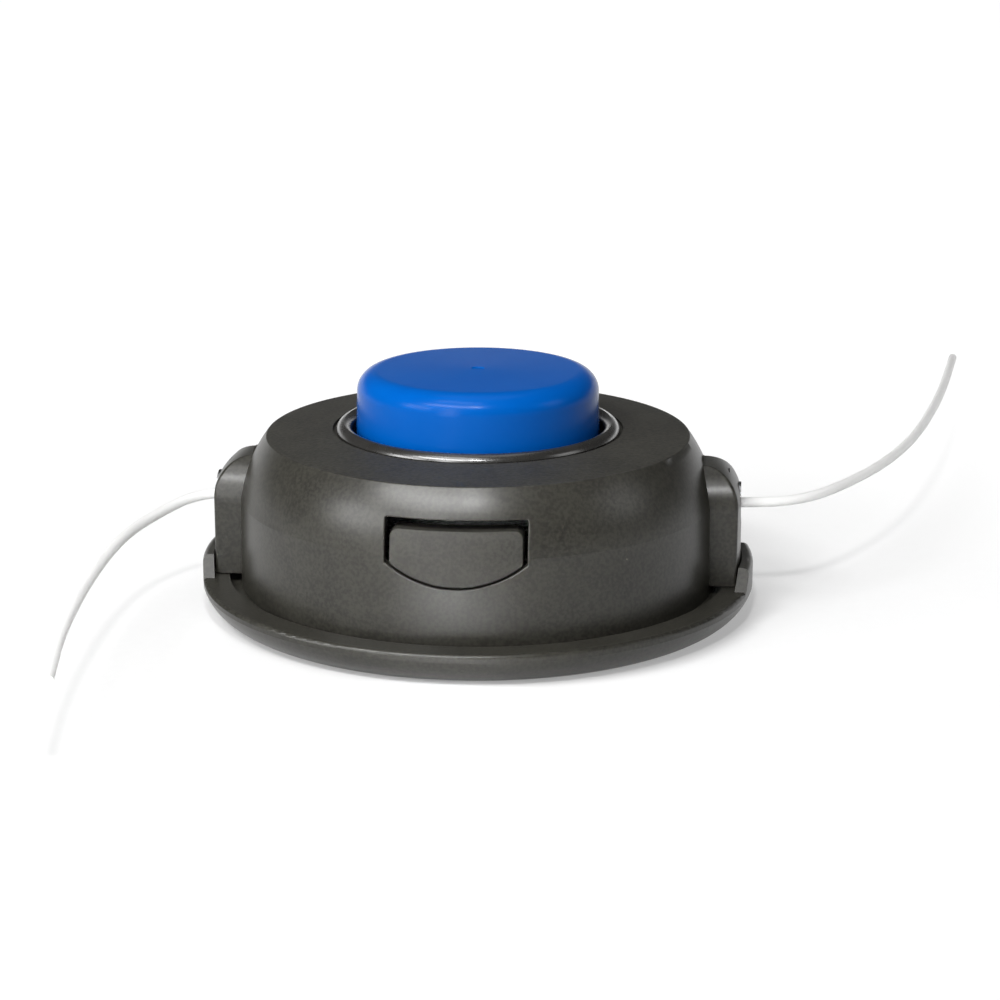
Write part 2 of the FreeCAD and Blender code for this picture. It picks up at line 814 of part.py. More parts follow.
def make_eyelet(label, turn):
    body = new_body(label)
    outer = boss_radius - s.eyelet_recess
    flange_seat = boss_radius - s.eyelet_flange
    inner = boss_radius - s.boss_wall - s.eyelet_bell
    bell = s.eyelet_bore_radius + s.eyelet_bell
    turned(body, "Revolution", "Bush", [
        (inner, bell),
        (inner + s.eyelet_bell, s.eyelet_bore_radius, s.eyelet_bell),
        (outer - s.eyelet_bell, s.eyelet_bore_radius),
        (outer, bell, s.eyelet_bell),
        (outer, s.eyelet_flange_radius),
        (flange_seat, s.eyelet_flange_radius),
        (flange_seat, s.eyelet_shank_radius),
        (inner, s.eyelet_shank_radius),
    ], axis="H_Axis", rise=s.eyelet_height)
    body.Placement.Rotation = FreeCAD.Rotation(FreeCAD.Vector(0, 0, 1), turn)
    return body


def make_latch(label, turn):
    body = new_body(label)
    half = s.window_half_width - s.tab_side_gap
    sag = s.window_sag * half * half / (s.window_half_width * s.window_half_width)
    corner = window_low + s.tab_bottom_gap + sag
    tab = tab_shape(half, window_top - s.tab_top_gap, corner, sag, s.tab_round)
    start = latch_inner - s.spare * 2
    depth = cover_foot - start + s.spare
    far = cover_foot + s.spare * 2
    stem_low = floor_top + s.pivot_lug_gap * 2
    face_radius = cover_foot - s.tab_recess
    lean = face_radius - cover_top_radius + s.tab_top_recess
    climb = cover_edge - window_low

    def on_corner(point):
        return near(abs(point.x), half.value) and near(point.z, corner.value)

    stem = sketch_on(body, "StemOutline", "XZ_Plane", lift=start)
    outline(stem, box_outline(-s.stem_half_width, stem_low, s.stem_half_width, window_corner))
    extruded(body, "Pad", "Stem", stem, depth)
    plate = sketch_on(body, "PlateOutline", "XZ_Plane", lift=start)
    outline(plate, tab)
    extruded(body, "Pad", "Plate", plate, depth)
    turned(body, "Groove", "BehindWall", [
        (inner_foot - s.latch_gap, seat_floor),
        (far, seat_floor),
        (far, ceiling),
        (cover_top_radius - s.wall - s.latch_gap, ceiling),
        (inner_shoulder - s.latch_gap, inner_shoulder_height),
    ])
    face = sketch_on(body, "TabOutline", "XZ_Plane", lift=start)
    outline(face, tab)
    extruded(body, "Pad", "Tab", face, depth)
    turned(body, "Groove", "TabFace", [
        (face_radius, seat_floor),
        (far, seat_floor),
        (far, cover_edge),
        (face_radius - lean, cover_edge),
        (face_radius, window_low, -(lean * lean + climb * climb) / (lean * 2)),
    ])
    rounded(body, "TabCorner", s.tab_corner_round, on_corner)
    rounded(body, "TabEdge", s.tab_edge_round, outside_wall)
    turned(body, "Groove", "InnerFace", box_outline(0, seat_floor, latch_inner, cover_edge))
    pin = sketch_on(body, "PivotPinOutline", "YZ_Plane")
    circle(pin, -pivot_radius, pivot_height, s.pivot_pin_radius)
    extruded(body, "Pad", "PivotPin", pin, pivot_lug_end * 2, both_ways=True)
    body.Placement.Rotation = FreeCAD.Rotation(FreeCAD.Vector(0, 0, 1), turn)
    return body


# Free line ends: straight runs joined by tangent arcs

def rounded_path(route):
    """The wire along a route whose corners are cut by tangent arcs, and the radii of those arcs."""
    points = [FreeCAD.Vector(x, y, s.eyelet_height.value + z) for x, y, z in route]
    edges = []
    radii = []
    here = points[0]
    for before, corner, after in zip(points, points[1:], points[2:]):
        back = (before - corner).normalize()
        ahead = (after - corner).normalize()
        half_turn = (math.pi - back.getAngle(ahead)) / 2
        cut = ARC_SHARE * min((before - corner).Length, (after - corner).Length)
        radius = cut / math.tan(half_turn)
        bisector = (back + ahead).normalize()
        middle = corner + bisector * (radius / math.cos(half_turn) - radius)
        start = corner + back * cut
        end = corner + ahead * cut
        edges.append(Part.LineSegment(here, start).toShape())
        edges.append(Part.Arc(start, middle, end).toShape())
        radii.append(radius)
        here = end
    edges.append(Part.LineSegment(here, points[-1]).toShape())
    return Part.Wire(edges), radii


def make_tail(label, route):
    path, radii = rounded_path(route)
    first_run = path.Edges[0]
    start = first_run.Vertexes[0].Point
    section = Part.Wire(Part.makeCircle(s.line_diameter.value / 2, start, first_run.tangentAt(0)))
    tail = doc.addObject("Part::Feature", label)
    tail.Shape = path.makePipeShell([section], True, True)
    tail.Placement = FreeCAD.Placement()
    plain_volume = math.pi * s.line_diameter.value ** 2 / 4 * path.Length
    if abs(tail.Shape.Volume / plain_volume - 1) > VOLUME_TOLERANCE:
        raise ValueError(f"{label}: volume does not match its length")
    print(label, "length", round(path.Length, 1), "least radius", round(min(radii), 1))
    return tail


# Build, test and write

parts = [
    make_drum(),
    make_cover(),
    make_wear_ring(),
    make_knob(),
    make_snap_ring(),
    make_spool(),
    make_winding("line_winding_lower", spool_low + s.spool_flange),
    make_winding("line_winding_upper", upper_low),
    make_tail("line_tail_left", TAIL_LEFT),
    make_tail("line_tail_right", TAIL_RIGHT),
    make_eyelet("eyelet_right", 0),
    make_eyelet("eyelet_left", 180),
    make_latch("latch_front", 0),
    make_latch("latch_rear", 180),
    make_spring(),
    plain_ring("spring_foot_washer", s.post_radius + s.spool_clearance, spring_room - s.spring_gap / 2,
               floor_top, s.washer_thickness),
    plain_ring("thrust_washer", s.post_radius + s.spool_clearance, spring_room - s.spring_gap / 2,
               spring_shelf - s.washer_gap - s.washer_thickness, s.washer_thickness),
    make_nut(),
    plain_ring("nut_retaining_washer", s.nut_washer_bore, s.nut_flats / 2,
               nut_high, s.nut_washer_thickness),
]
doc.recompute()


def check(item):
    if "Invalid" in item.State or "Error" in item.State:
        raise ValueError(f"{item.Label}: {item.State}")
    if item.isDerivedFrom("Part::Feature") and (item.Shape.isNull() or not item.Shape.isValid()):
        raise ValueError(f"{item.Label}: no valid shape")


for item in doc.Objects:
    check(item)
    if item.isDerivedFrom("PartDesign::Pocket") or item.isDerivedFrom("PartDesign::Groove"):
        if item.Shape.Volume >= item.BaseFeature.Shape.Volume:
            raise ValueError(f"{item.Label}: cuts nothing")

os.makedirs("parts", exist_ok=True)
for part in parts:
    if len(part.Shape.Solids) != 1:
        raise ValueError(f"{part.Label}: {len(part.Shape.Solids)} solids")
    part.Shape.exportStep(f"parts/{part.Label}.step")
    print(part.Label, round(part.Shape.Volume / 1000, 2), "cm3")
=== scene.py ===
import math
import bpy
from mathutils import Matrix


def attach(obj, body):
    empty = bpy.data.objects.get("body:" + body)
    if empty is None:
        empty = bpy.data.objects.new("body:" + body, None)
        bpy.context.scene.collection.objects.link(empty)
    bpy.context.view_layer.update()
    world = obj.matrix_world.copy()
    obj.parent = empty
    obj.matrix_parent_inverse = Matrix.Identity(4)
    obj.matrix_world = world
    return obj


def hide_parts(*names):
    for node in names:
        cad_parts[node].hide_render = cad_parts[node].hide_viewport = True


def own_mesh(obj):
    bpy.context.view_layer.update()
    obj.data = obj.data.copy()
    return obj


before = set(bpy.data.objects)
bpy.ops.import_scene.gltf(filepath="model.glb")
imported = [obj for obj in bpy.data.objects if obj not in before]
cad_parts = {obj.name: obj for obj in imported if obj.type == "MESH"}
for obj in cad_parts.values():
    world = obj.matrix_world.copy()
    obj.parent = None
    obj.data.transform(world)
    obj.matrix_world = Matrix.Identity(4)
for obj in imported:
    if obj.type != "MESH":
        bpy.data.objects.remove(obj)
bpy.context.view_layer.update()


# Drum and cover: the two halves of the housing, injection moulded in dark grey glass-filled nylon.
# The tool is spark eroded, so the faces are satin with a fine grain, and the cover's top is grained coarser.
# The cover stands in a groove of the drum's saucer flange and is held there by the two latches.

MM = 0.001
HOUSING_DEEP = "#21201d"
HOUSING_PALE = "#31302b"
HOUSING_ROUGHNESS = 0.32
ROUGHNESS_SWING = 0.015
CLOUD_WIDTH = 11 * MM
# The real grain is about 0.15 mm wide and the glass specks 0.1 mm. Both are drawn coarser, so that they show.
GRAIN_WIDTH = 0.5 * MM
GRAIN_DEPTH = 0.013 * MM
SPECK_WIDTH = 0.8 * MM
# From this height up, the cover's top has the coarse grain, also drawn wider than its real 0.4 mm.
TOP_FROM = 41.0 * MM
TOP_BLEND = 0.3 * MM
TOP_ROUGHNESS = 0.62
TOP_GRAIN_WIDTH = 0.9 * MM
TOP_GRAIN_TIMES = 8.0
# Sockets of a Mix node: its share, its two numbers, its two colours and the colour that comes out.
SHARE, NUMBER_A, NUMBER_B, COLOUR_A, COLOUR_B, COLOUR_OUT = 0, 2, 3, 6, 7, 2


def linear(hex_colour):
    """An sRGB hex colour as the linear RGBA that a shader socket takes."""
    channels = [int(hex_colour[place:place + 2], 16) / 255 for place in (1, 3, 5)]
    return [c / 12.92 if c <= 0.04045 else ((c + 0.055) / 1.055) ** 2.4 for c in channels] + [1.0]


def new_finish(name):
    """An empty material."""
    finish = bpy.data.materials.new(name)
    finish.use_nodes = True
    finish.node_tree.nodes.clear()
    return finish


def add_node(finish, kind, inputs, **settings):
    """Adds a shader node, with a value or a link from another node for each input that is named."""
    tree = finish.node_tree
    node = tree.nodes.new("ShaderNode" + kind)
    for name, value in settings.items():
        setattr(node, name, value)
    for name, value in inputs.items():
        if isinstance(value, bpy.types.NodeSocket):
            tree.links.new(value, node.inputs[name])
        else:
            node.inputs[name].default_value = value
    return node


def dress(finish, *names):
    """Gives solids of the frame a finish."""
    for name in names:
        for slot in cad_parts[name].material_slots:
            slot.material = finish


def moulded_nylon(name, deep, pale, roughness, grain_width, grain_depth, coarse_from=None):
    """Glass-filled nylon: clouded pigment, specks of glass, satin roughness and the grain of the tool."""
    finish = new_finish(name)
    place = add_node(finish, "TexCoord", {}).outputs["Object"]
    clouds = add_node(finish, "TexNoise", {
        "Vector": place, "Scale": 1 / CLOUD_WIDTH, "Detail": 5.0, "Roughness": 0.62,
    }).outputs["Fac"]
    tone = add_node(finish, "MapRange", {
        "Value": clouds, "From Min": 0.32, "From Max": 0.68, "To Min": 0.0, "To Max": 0.45,
    }).outputs[0]
    specks = add_node(finish, "TexNoise", {
        "Vector": place, "Scale": 1 / SPECK_WIDTH, "Detail": 2.0,
    }).outputs["Fac"]
    speckle = add_node(finish, "MapRange", {
        "Value": specks, "From Min": 0.38, "From Max": 0.62, "To Min": 0.0, "To Max": 0.75,
    }).outputs[0]
    shade = add_node(finish, "Math", {0: tone, 1: speckle}, operation="ADD", use_clamp=True).outputs[0]
    colour = add_node(finish, "Mix", {
        SHARE: shade, COLOUR_A: linear(deep), COLOUR_B: linear(pale),
    }, data_type="RGBA").outputs[COLOUR_OUT]
    height = add_node(finish, "TexNoise", {
        "Vector": place, "Scale": 1 / grain_width, "Detail": 3.0, "Roughness": 0.6,
    }).outputs["Fac"]
    rough = add_node(finish, "MapRange", {
        "Value": clouds, "From Min": 0.3, "From Max": 0.7,
        "To Min": roughness - ROUGHNESS_SWING, "To Max": roughness + ROUGHNESS_SWING,
    }).outputs[0]
    if coarse_from is not None:
        up = add_node(finish, "SeparateXYZ", {"Vector": place}).outputs["Z"]
        on_top = add_node(finish, "MapRange", {
            "Value": up, "From Min": coarse_from, "From Max": coarse_from + TOP_BLEND,
        }).outputs[0]
        rough = add_node(finish, "Mix", {
            SHARE: on_top, NUMBER_A: rough, NUMBER_B: TOP_ROUGHNESS,
        }).outputs[0]
        coarse = add_node(finish, "TexNoise", {
            "Vector": place, "Scale": 1 / TOP_GRAIN_WIDTH, "Detail": 3.0,
        }).outputs["Fac"]
        deeper = add_node(finish, "Math", {0: coarse, 1: TOP_GRAIN_TIMES}, operation="MULTIPLY").outputs[0]
        height = add_node(finish, "Mix", {SHARE: on_top, NUMBER_A: height, NUMBER_B: deeper}).outputs[0]
    bump = add_node(finish, "Bump", {"Height": height, "Strength": 1.0, "Distance": grain_depth})
    skin = add_node(finish, "BsdfPrincipled", {
        "Base Color": colour, "Roughness": rough, "Normal": bump.outputs[0], "IOR": 1.53,
        "Specular IOR Level": 0.36,
    })
    add_node(finish, "OutputMaterial", {"Surface": skin.outputs[0]})
    return finish


# Satin nylon: a warm dark grey with a faint speckle, on which a lamp shows as a broad soft band.
housing_nylon = moulded_nylon("satin_glass_filled_nylon", HOUSING_DEEP, HOUSING_PALE, HOUSING_ROUGHNESS,
                              GRAIN_WIDTH, GRAIN_DEPTH, coarse_from=TOP_FROM)
dress(housing_nylon, "drum", "cover")


# Latches: two press tabs of the same nylon, each on a stem with two trunnions in lugs of the drum.
# Their faces fill the cover's windows and carry a rougher grain, so that a thumb doesn't slip.

LATCH_ROUGHNESS = 0.58
LATCH_GRAIN_WIDTH = 0.8 * MM
LATCH_GRAIN_DEPTH = 0.03 * MM

# Grained nylon: the housing's grey, but matt, so a tab shows no band of light where the wall round it does.
press_nylon = moulded_nylon("grained_glass_filled_nylon", HOUSING_DEEP, HOUSING_PALE, LATCH_ROUGHNESS,
                            LATCH_GRAIN_WIDTH, LATCH_GRAIN_DEPTH)
dress(press_nylon, "latch_front", "latch_rear")


# Wear ring: a dark collar pressed into the cover's top, in which the knob slides.
# It is moulded in unfilled nylon, in a tool that is polished to a satin gloss and leaves faint smears.

RING_DEEP = "#1c1b19"
RING_PALE = "#2a2927"
SMEAR_WIDTH = 5 * MM

# Polished nylon: nearly black in itself, with the lamps and the pale room drawn along its round as bright lines.
ring_nylon = new_finish("polished_unfilled_nylon")
place = add_node(ring_nylon, "TexCoord", {}).outputs["Object"]
smears = add_node(ring_nylon, "TexNoise", {
    "Vector": place, "Scale": 1 / SMEAR_WIDTH, "Detail": 4.0,
}).outputs["Fac"]
rough = add_node(ring_nylon, "MapRange", {"Value": smears, "To Min": 0.22, "To Max": 0.34}).outputs[0]
tone = add_node(ring_nylon, "Mix", {
    SHARE: smears, COLOUR_A: linear(RING_DEEP), COLOUR_B: linear(RING_PALE),
}, data_type="RGBA").outputs[COLOUR_OUT]
skin = add_node(ring_nylon, "BsdfPrincipled", {
    "Base Color": tone, "Roughness": rough, "IOR": 1.58, "Coat Weight": 0.9, "Coat Roughness": 0.2,
})
add_node(ring_nylon, "OutputMaterial", {"Surface": skin.outputs[0]})
dress(ring_nylon, "wear_ring")


# Knob: the blue cap that is bumped on the ground, moulded in acetal and snapped over the spool's socket.
# It comes out of a polished tool, with a small mark in the middle of its top where the gate was.

KNOB_DEEP = "#004794"
KNOB_PALE = "#004d9b"
FLOW_WIDTH = 14 * MM
HAZE_WIDTH = 2.2 * MM
RIPPLE_DEPTH = 0.002 * MM

# Acetal: an even, deep colour with the faintest flow clouds, and a soft gloss along the round of the edge.
acetal = new_finish("blue_acetal")
place = add_node(acetal, "TexCoord", {}).outputs["Object"]
flow = add_node(acetal, "TexNoise", {
    "Vector": place, "Scale": 1 / FLOW_WIDTH, "Detail": 3.0, "Distortion": 0.6,
}).outputs["Fac"]
tone = add_node(acetal, "Mix", {
    SHARE: flow, COLOUR_A: linear(KNOB_DEEP), COLOUR_B: linear(KNOB_PALE),
}, data_type="RGBA").outputs[COLOUR_OUT]
haze = add_node(acetal, "TexNoise", {"Vector": place, "Scale": 1 / HAZE_WIDTH, "Detail": 4.0}).outputs["Fac"]
rough = add_node(acetal, "MapRange", {"Value": haze, "To Min": 0.17, "To Max": 0.27}).outputs[0]
ripple = add_node(acetal, "Bump", {"Height": haze, "Strength": 1.0, "Distance": RIPPLE_DEPTH})
skin = add_node(acetal, "BsdfPrincipled", {
    "Base Color": tone, "Roughness": rough, "Normal": ripple.outputs[0], "IOR": 1.48,
    "Specular IOR Level": 0.08,
})
add_node(acetal, "OutputMaterial", {"Surface": skin.outputs[0]})
dress(acetal, "bump_knob")


# Spool: the reel inside the housing with two chambers and a ring of feed dogs on each face.
# It is moulded in the same nylon as the housing, in a plain tool.

SPOOL_DEEP = "#2b2b2b"
SPOOL_PALE = "#363636"
SPOOL_ROUGHNESS = 0.45
SPOOL_GRAIN_WIDTH = 0.6 * MM
SPOOL_GRAIN_DEPTH = 0.01 * MM

# Plain nylon: a neutral grey, a little paler and duller than the housing.
spool_nylon = moulded_nylon("plain_glass_filled_nylon", SPOOL_DEEP, SPOOL_PALE, SPOOL_ROUGHNESS,
                            SPOOL_GRAIN_WIDTH, SPOOL_GRAIN_DEPTH)
dress(spool_nylon, "spool")


# Snap ring: an open ring of wire that springs into a groove and locks the knob to the spool.
# It is drawn spring steel, grey from its heat treatment, with a thin film of oil.

WIRE_DEEP = "#6d6a66"
WIRE_PALE = "#a19e99"
# The marks of the drawing die are finer than this in reality. They are drawn coarser, so that they show.
DIE_MARK_WIDTH = 1.2 * MM

# Spring steel: a dull grey metal, glossy in streaks where the oil lies.
spring_steel = new_finish("drawn_spring_steel")
place = add_node(spring_steel, "TexCoord", {}).outputs["Object"]
drawn = add_node(spring_steel, "TexNoise", {
    "Vector": place, "Scale": 1 / DIE_MARK_WIDTH, "Detail": 4.0,
}).outputs["Fac"]
tone = add_node(spring_steel, "Mix", {
    SHARE: drawn, COLOUR_A: linear(WIRE_DEEP), COLOUR_B: linear(WIRE_PALE),
}, data_type="RGBA").outputs[COLOUR_OUT]
rough = add_node(spring_steel, "MapRange", {"Value": drawn, "To Min": 0.22, "To Max": 0.42}).outputs[0]
skin = add_node(spring_steel, "BsdfPrincipled", {"Base Color": tone, "Metallic": 1.0, "Roughness": rough})
add_node(spring_steel, "OutputMaterial", {"Surface": skin.outputs[0]})
dress(spring_steel, "knob_snap_ring")


# Washers: the foot and thrust washers of the spring and the push-on washer that keeps the nut in the hub.
# They are stamped from steel strip and zinc plated, and lie loose apart from the push-on one.

ZINC_DEEP = "#aeb3b9"
ZINC_PALE = "#d2cfc6"
BLOOM_WIDTH = 3 * MM

# Clear zinc: a pale metal with a slight bluish and yellowish cloud.
zinc_plate = new_finish("clear_zinc_plate")
place = add_node(zinc_plate, "TexCoord", {}).outputs["Object"]
bloom = add_node(zinc_plate, "TexNoise", {
    "Vector": place, "Scale": 1 / BLOOM_WIDTH, "Detail": 5.0,
}).outputs["Fac"]
tone = add_node(zinc_plate, "Mix", {
    SHARE: bloom, COLOUR_A: linear(ZINC_DEEP), COLOUR_B: linear(ZINC_PALE),
}, data_type="RGBA").outputs[COLOUR_OUT]
rough = add_node(zinc_plate, "MapRange", {"Value": bloom, "To Min": 0.24, "To Max": 0.44}).outputs[0]
skin = add_node(zinc_plate, "BsdfPrincipled", {"Base Color": tone, "Metallic": 1.0, "Roughness": rough})
add_node(zinc_plate, "OutputMaterial", {"Surface": skin.outputs[0]})
dress(zinc_plate, "nut_retaining_washer", "spring_foot_washer", "thrust_washer")


# Drive nut: a tall hexagon nut of zinc plated steel, cold formed and tapped, captive in the hub.
# The gearbox shaft screws into its left-hand M10 thread of 1.25 mm pitch, so that cutting tightens it.

NUT_FLATS = 17.0 * MM
NUT_FOOT = 4.0 * MM
NUT_TOP = 16.0 * MM
NUT_BORE = 4.35 * MM
NUT_CHAMFER = 0.7 * MM
THREAD_PITCH = 1.25 * MM
THREAD_ROOT = 5.05 * MM
TAP_TOOTH = 0.6 * MM
HEXAGON = 6
TOOTH_SIDES = 3
ROUND_SIDES = 96
STEPS_PER_TURN = 48
WELD_UNDER = 0.002 * MM
SMOOTH_UNDER = math.radians(30)


def cut_with(piece, tool, operation):
    """Joins or cuts a piece with a tool, which is used up."""
    bpy.ops.object.select_all(action="DESELECT")
    bpy.context.view_layer.objects.active = piece
    piece.select_set(True)
    step = piece.modifiers.new("cut", "BOOLEAN")
    step.operation = operation
    step.solver = "EXACT"
    step.object = tool
    bpy.ops.object.modifier_apply(modifier="cut")
    bpy.data.objects.remove(tool)


def close_ends():
    """Caps the open ends of the active tube and turns its faces outwards."""
    bpy.ops.object.mode_set(mode="EDIT")
    bpy.ops.mesh.select_all(action="SELECT")
    bpy.ops.mesh.fill_holes(sides=0)
    bpy.ops.mesh.select_all(action="SELECT")
    bpy.ops.mesh.normals_make_consistent(inside=False)
    bpy.ops.object.mode_set(mode="OBJECT")


nut_middle = (0.0, 0.0, (NUT_FOOT + NUT_TOP) / 2)
nut_height = NUT_TOP - NUT_FOOT
nut_corner = NUT_FLATS / math.sqrt(3)
bpy.ops.object.select_all(action="DESELECT")
bpy.ops.mesh.primitive_cylinder_add(vertices=ROUND_SIDES, radius=nut_corner, depth=nut_height,
                                    location=nut_middle)
barrel = bpy.context.object
edge = barrel.modifiers.new("chamfer", "BEVEL")
edge.width = NUT_CHAMFER
edge.limit_method = "ANGLE"
bpy.ops.object.modifier_apply(modifier="chamfer")
bpy.ops.mesh.primitive_cylinder_add(vertices=ROUND_SIDES, radius=NUT_BORE, depth=nut_height * 2,
                                    location=nut_middle)
drill = bpy.context.object
bpy.ops.mesh.primitive_circle_add(vertices=TOOTH_SIDES, radius=TAP_TOOTH,
                                  rotation=(0.0, -math.pi / 2, -math.pi / 2),
                                  location=(THREAD_ROOT - TAP_TOOTH, 0.0, NUT_TOP + THREAD_PITCH))
tap = bpy.context.object
bpy.ops.object.transform_apply()
turns = tap.modifiers.new("turns", "SCREW")
turns.screw_offset = -THREAD_PITCH
turns.iterations = math.ceil(nut_height / THREAD_PITCH) + 2
turns.steps = STEPS_PER_TURN
bpy.ops.object.modifier_apply(modifier="turns")
close_ends()
bpy.ops.mesh.primitive_cylinder_add(vertices=HEXAGON, radius=nut_corner, depth=nut_height,
                                    location=nut_middle, rotation=(0.0, 0.0, math.pi / 2))
nut = bpy.context.object
nut.name = "tapped_nut"
bpy.ops.object.transform_apply()
cut_with(nut, barrel, "INTERSECT")
cut_with(nut, drill, "DIFFERENCE")
cut_with(nut, tap, "DIFFERENCE")
bpy.ops.object.mode_set(mode="EDIT")
bpy.ops.mesh.select_all(action="SELECT")
bpy.ops.mesh.remove_doubles(threshold=WELD_UNDER)
bpy.ops.object.mode_set(mode="OBJECT")
bpy.ops.object.shade_smooth_by_angle(angle=SMOOTH_UNDER)
nut.data.materials.clear()
nut.data.materials.append(zinc_plate)
dress(zinc_plate, "drive_nut")
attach(nut, "housing")
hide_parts("drive_nut")


# Feed spring: an open coil of the snap ring's steel round the hub post, ground flat at both ends.
# It stands on the foot washer, presses the spool and its knob up, and is 5 mm shorter when the knob is bumped.

SPRING_RADIUS = 14.3 * MM
SPRING_WIRE = 1.8 * MM
SPRING_PITCH = 3.3 * MM
SPRING_GRIND = 0.45 * MM
SPRING_FOOT = 7.9 * MM
SPRING_TOP = 26.0 * MM
WIRE_SIDES = 16
GRINDER_SIDES = 64

spring_length = SPRING_TOP - SPRING_FOOT
coil_rise = spring_length + SPRING_GRIND * 2
coil_count = math.ceil(coil_rise / SPRING_PITCH)
bpy.ops.object.select_all(action="DESELECT")
bpy.ops.mesh.primitive_cylinder_add(vertices=GRINDER_SIDES, radius=SPRING_RADIUS + SPRING_WIRE,
                                    depth=spring_length,
                                    location=(0.0, 0.0, SPRING_FOOT + spring_length / 2))
ground = bpy.context.object
bpy.ops.mesh.primitive_circle_add(vertices=WIRE_SIDES, radius=SPRING_WIRE / 2,
                                  rotation=(math.pi / 2, 0.0, 0.0),
                                  location=(SPRING_RADIUS, 0.0, SPRING_FOOT - SPRING_GRIND))
coil = bpy.context.object
coil.name = "coiled_spring"
bpy.ops.object.transform_apply()
turns = coil.modifiers.new("turns", "SCREW")
turns.angle = math.tau * coil_rise / SPRING_PITCH / coil_count
turns.screw_offset = coil_rise / coil_count
turns.iterations = coil_count
turns.steps = STEPS_PER_TURN
bpy.ops.object.modifier_apply(modifier="turns")
close_ends()
cut_with(coil, ground, "INTERSECT")
bpy.ops.object.shade_smooth_by_angle(angle=SMOOTH_UNDER)
coil.data.materials.clear()
coil.data.materials.append(spring_steel)
dress(spring_steel, "feed_spring")
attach(coil, "housing")
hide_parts("feed_spring")
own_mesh(coil)


# Eyelets: two steel bushes, turned from bar and pressed into the bosses.
# The line runs out over their rounded mouths.

EYELET_HEIGHT = 25.5 * MM
EYELET_DEEP = "#a9aaac"
EYELET_PALE = "#c9cacb"
# The turning tool's real feed is about 0.1 mm a turn. Its rings are drawn coarser, so that they show.
TOOL_FEED = 0.35 * MM
FEED_DEPTH = 0.008 * MM
# Distance from ring to ring of the wave texture at a scale of 1
WAVE_LENGTH = 0.314

# Turned steel: a bright grey metal with fine rings about the eyelet's axis, which fan the light out.
eyelet_steel = new_finish("turned_steel")
place = add_node(eyelet_steel, "TexCoord", {}).outputs["Object"]
centred = add_node(eyelet_steel, "Mapping", {"Vector": place, "Location": (0, 0, -EYELET_HEIGHT)}).outputs[0]
rings = add_node(eyelet_steel, "TexWave", {
    "Vector": centred, "Scale": WAVE_LENGTH / TOOL_FEED, "Distortion": 0.4,
}, wave_type="RINGS", rings_direction="X").outputs["Fac"]
tone = add_node(eyelet_steel, "Mix", {
    SHARE: rings, COLOUR_A: linear(EYELET_DEEP), COLOUR_B: linear(EYELET_PALE),
}, data_type="RGBA").outputs[COLOUR_OUT]
turned = add_node(eyelet_steel, "Bump", {"Height": rings, "Strength": 1.0, "Distance": FEED_DEPTH})
skin = add_node(eyelet_steel, "BsdfPrincipled", {
    "Base Color": tone, "Metallic": 1.0, "Roughness": 0.27, "Normal": turned.outputs[0],
})
add_node(eyelet_steel, "OutputMaterial", {"Surface": skin.outputs[0]})
dress(eyelet_steel, "eyelet_left", "eyelet_right")


# Line: round nylon monofilament, wound in the spool's chambers and run out through the eyelets.
# It is drawn without pigment, is stiff enough to stand out from the head and keeps the curl of the spool.

LINE_WIDTH = 2.4 * MM
LINE_DEEP = "#f6f6f5"
LINE_PALE = "#fcfcfb"
MILK_WIDTH = 4 * MM
# Length in metres of each free end, and its route in millimetres from inside the boss outwards
LINE_ENDS = {
    "left": (0.142, [
        (-51.6, 0.0, 25.5), (-65.6, 0.0, 25.2), (-74.2, -12.2, 22.9), (-78.6, -31.5, 22.6),
        (-79.0, -60.3, 22.2), (-77.3, -87.2, 21.9), (-75.2, -106.8, 21.6), (-72.1, -125.4, 21.3),
    ]),
    "right": (0.1948, [
        (54.5, 0.0, 25.5), (66.5, 0.0, 25.5), (77.8, 5.6, 25.4), (88.0, 21.2, 25.3), (98.4, 43.0, 25.1),
        (107.1, 70.1, 24.9), (115.0, 107.5, 24.6), (120.1, 137.8, 24.4), (124.4, 168.0, 24.2),
    ]),
}

# Clear nylon: milky white, lets part of the light through and has a dull shine along its length.
line_nylon = new_finish("drawn_clear_nylon")
place = add_node(line_nylon, "TexCoord", {}).outputs["Object"]
milk = add_node(line_nylon, "TexNoise", {"Vector": place, "Scale": 1 / MILK_WIDTH, "Detail": 3.0}).outputs["Fac"]
tone = add_node(line_nylon, "Mix", {
    SHARE: milk, COLOUR_A: linear(LINE_DEEP), COLOUR_B: linear(LINE_PALE),
}, data_type="RGBA").outputs[COLOUR_OUT]
rough = add_node(line_nylon, "MapRange", {"Value": milk, "To Min": 0.24, "To Max": 0.4}).outputs[0]
skin = add_node(line_nylon, "BsdfPrincipled", {
    "Base Color": tone, "Roughness": rough, "IOR": 1.53, "Transmission Weight": 0.5,
    "Specular IOR Level": 0.3,
})
add_node(line_nylon, "OutputMaterial", {"Surface": skin.outputs[0]})
dress(line_nylon, "line_winding_lower", "line_winding_upper")

for side, (length, route) in LINE_ENDS.items():
    drawn_line = bpy.data.curves.new(f"trimmer_line_{side}", "CURVE")
    drawn_line.dimensions = "3D"
    drawn_line.bevel_depth = LINE_WIDTH / 2
    drawn_line.bevel_resolution = 6
    drawn_line.use_fill_caps = True
    drawn_line.resolution_u = 16
    spline = drawn_line.splines.new("NURBS")
    spline.points.add(len(route) - 1)
    for point, (x, y, z) in zip(spline.points, route):
        point.co = (x * MM, y * MM, z * MM, 1.0)
    spline.order_u = 3
    spline.use_endpoint_u = True
    drawn_line.materials.append(line_nylon)
    line_end = bpy.data.objects.new(f"trimmer_line_{side}", drawn_line)
    bpy.context.scene.collection.objects.link(line_end)
    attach(line_end, "housing")
    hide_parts(f"line_tail_{side}")


